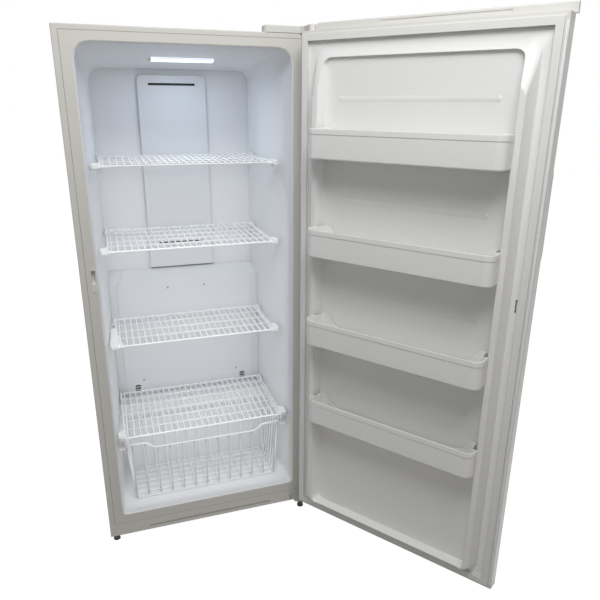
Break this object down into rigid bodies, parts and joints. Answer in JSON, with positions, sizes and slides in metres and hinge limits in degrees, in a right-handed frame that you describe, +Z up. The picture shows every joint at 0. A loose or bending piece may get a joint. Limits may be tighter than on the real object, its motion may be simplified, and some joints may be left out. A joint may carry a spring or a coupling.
{
  "type": "upright freezer",
  "caption": "Tall upright freezer with a hinged insulated door, door bins, wire shelves and a pull-out wire basket.",
  "frame": {"origin": "on the floor under the centre of the cabinet", "axes": "+Z up, +X to the hinge side, +Y to the back of the cabinet"},
  "size_m": [1.3399, 1.3894, 1.946],
  "materials": {
    "cabinet_paint": "fine orange-peel enamel",
    "door_paint": "fine orange-peel enamel",
    "zinc_steel": "galvanised sheet",
    "insulation": "rigid foam",
    "liner_white": "vacuum-formed sheet",
    "cover_white": "moulded, satin",
    "lens_frost": "frosted",
    "cap_white": "moulded, satin",
    "bin_white": "moulded, glossy",
    "wire_white": "dipped coating",
    "seal_white": "soft vinyl",
    "hinge_grey": "zinc grey",
    "screw_steel": "plated",
    "lock_metal": "polished",
    "foot_black": "moulded",
    "compressor_black": "gloss black enamel",
    "mount_rubber": "soft",
    "coil_black": "black enamel",
    "coil_aluminium": "mill finish",
    "fan_grey": "moulded",
    "pan_grey": "moulded"
  },
  "bodies": {
    "cabinet": {"outer_shell": "cabinet_paint", "front_rail": "cabinet_paint", "base_pan": "zinc_steel", "back_panel": "zinc_steel", "inner_liner": "liner_white", "cabinet_foam": "insulation", "evaporator_cover": "cover_white", "cover_screws": "screw_steel", "duct_cover": "cover_white", "light_lens": "lens_frost", "evaporator_coil": "coil_aluminium", "defrost_heater": "screw_steel", "evaporator_fan_motor": "fan_grey", "shelf_pegs": "cap_white", "basket_runners": "cap_white", "keeper_plate": "cap_white", "top_hinge_plate": "hinge_grey", "top_hinge_cover": "cap_white", "hinge_screws": "screw_steel", "bottom_hinge_bracket": "hinge_grey", "bottom_hinge_bolts": "screw_steel", "roller_brackets": "zinc_steel", "compressor_tray": "zinc_steel", "compressor": "compressor_black", "compressor_mounts": "mount_rubber", "condenser_coil": "coil_black", "condenser_fan_frame": "fan_grey", "drain_pan": "pan_grey", "rear_cover": "zinc_steel", "control_box": "pan_grey"},
    "door": {"door_panel": "door_paint", "door_liner": "liner_white", "door_foam": "insulation", "door_top_cap": "cap_white", "door_bottom_cap": "cap_white", "door_gasket": "seal_white", "door_handle": "cap_white", "handle_screws": "screw_steel", "lock_housing": "fan_grey"},
    "lock_barrel": {"lock_barrel": "lock_metal"},
    "lock_hook": {"lock_hook": "screw_steel"},
    "basket": {"basket": "wire_white"},
    "evaporator_fan": {"evaporator_fan": "fan_grey"},
    "condenser_fan": {"condenser_fan": "fan_grey"},
    "roller_left": {"roller_left": "foot_black"},
    "roller_right": {"roller_right": "foot_black"},
    "foot_left": {"foot_left": "foot_black"},
    "foot_right": {"foot_right": "foot_black"},
    "shelf_1": {"shelf_1": "wire_white", "shelf_1_caps": "cap_white"},
    "bin_1": {"bin_1": "bin_white"},
    "shelf_2": {"shelf_2": "wire_white", "shelf_2_caps": "cap_white"},
    "bin_2": {"bin_2": "bin_white"},
    "shelf_3": {"shelf_3": "wire_white", "shelf_3_caps": "cap_white"},
    "bin_3": {"bin_3": "bin_white"},
    "shelf_4": {"shelf_4": "wire_white", "shelf_4_caps": "cap_white"},
    "bin_4": {"bin_4": "bin_white"}
  },
  "joints": [
    {"name": "door_hinge", "type": "hinge", "parent": "cabinet", "child": "door", "pos_m": [0.4045, -0.381, 1], "axis": [0, 0, 1], "range_deg": [-126.23, 8.77]},
    {"name": "shelf_1_slide", "type": "slide", "parent": "cabinet", "child": "shelf_1", "axis": [0, -1, 0], "range_m": [0, 0.35]},
    {"name": "shelf_2_slide", "type": "slide", "parent": "cabinet", "child": "shelf_2", "axis": [0, -1, 0], "range_m": [0, 0.35]},
    {"name": "shelf_3_slide", "type": "slide", "parent": "cabinet", "child": "shelf_3", "axis": [0, -1, 0], "range_m": [0, 0.35]},
    {"name": "shelf_4_slide", "type": "slide", "parent": "cabinet", "child": "shelf_4", "axis": [0, -1, 0], "range_m": [0, 0.35]},
    {"name": "basket_slide", "type": "slide", "parent": "cabinet", "child": "basket", "axis": [0, -1, 0], "range_m": [0, 0.28]},
    {"name": "bin_1_lift", "type": "slide", "parent": "door", "child": "bin_1", "axis": [0, 0, 1], "range_m": [0, 0.06]},
    {"name": "bin_2_lift", "type": "slide", "parent": "door", "child": "bin_2", "axis": [0, 0, 1], "range_m": [0, 0.06]},
    {"name": "bin_3_lift", "type": "slide", "parent": "door", "child": "bin_3", "axis": [0, 0, 1], "range_m": [0, 0.06]},
    {"name": "bin_4_lift", "type": "slide", "parent": "door", "child": "bin_4", "axis": [0, 0, 1], "range_m": [0, 0.06]},
    {"name": "lock_turn", "type": "hinge", "parent": "door", "child": "lock_barrel", "pos_m": [0.87999, -1.01135, 1.126], "axis": [0.8067, 0.591, 0], "range_deg": [0, 90]},
    {"name": "hook_turn", "type": "hinge", "parent": "door", "child": "lock_hook", "pos_m": [0.83095, -1.0324, 1.112], "axis": [0.591, -0.8067, 0], "range_deg": [0, 90]},
    {"name": "condenser_fan_spin", "type": "hinge", "parent": "cabinet", "child": "condenser_fan", "pos_m": [-0.175, 0.155, 0.1355], "axis": [1, 0, 0], "continuous": true},
    {"name": "evaporator_fan_spin", "type": "hinge", "parent": "cabinet", "child": "evaporator_fan", "pos_m": [0, 0.17, 0.88], "axis": [0, 1, 0], "continuous": true},
    {"name": "roller_left_spin", "type": "hinge", "parent": "cabinet", "child": "roller_left", "pos_m": [-0.34, 0.27, 0.019], "axis": [1, 0, 0], "continuous": true},
    {"name": "roller_right_spin", "type": "hinge", "parent": "cabinet", "child": "roller_right", "pos_m": [0.34, 0.27, 0.019], "axis": [1, 0, 0], "continuous": true},
    {"name": "foot_left_turn", "type": "hinge", "parent": "cabinet", "child": "foot_left", "pos_m": [-0.39, -0.3, 0.01], "axis": [0, 0, 1], "continuous": true},
    {"name": "foot_right_turn", "type": "hinge", "parent": "cabinet", "child": "foot_right", "pos_m": [0.3895, -0.332, 0.01], "axis": [0, 0, 1], "continuous": true}
  ],
  "couplings": [
    {"joint": "hook_turn", "follows": "lock_turn", "ratio": 1}
  ]
}
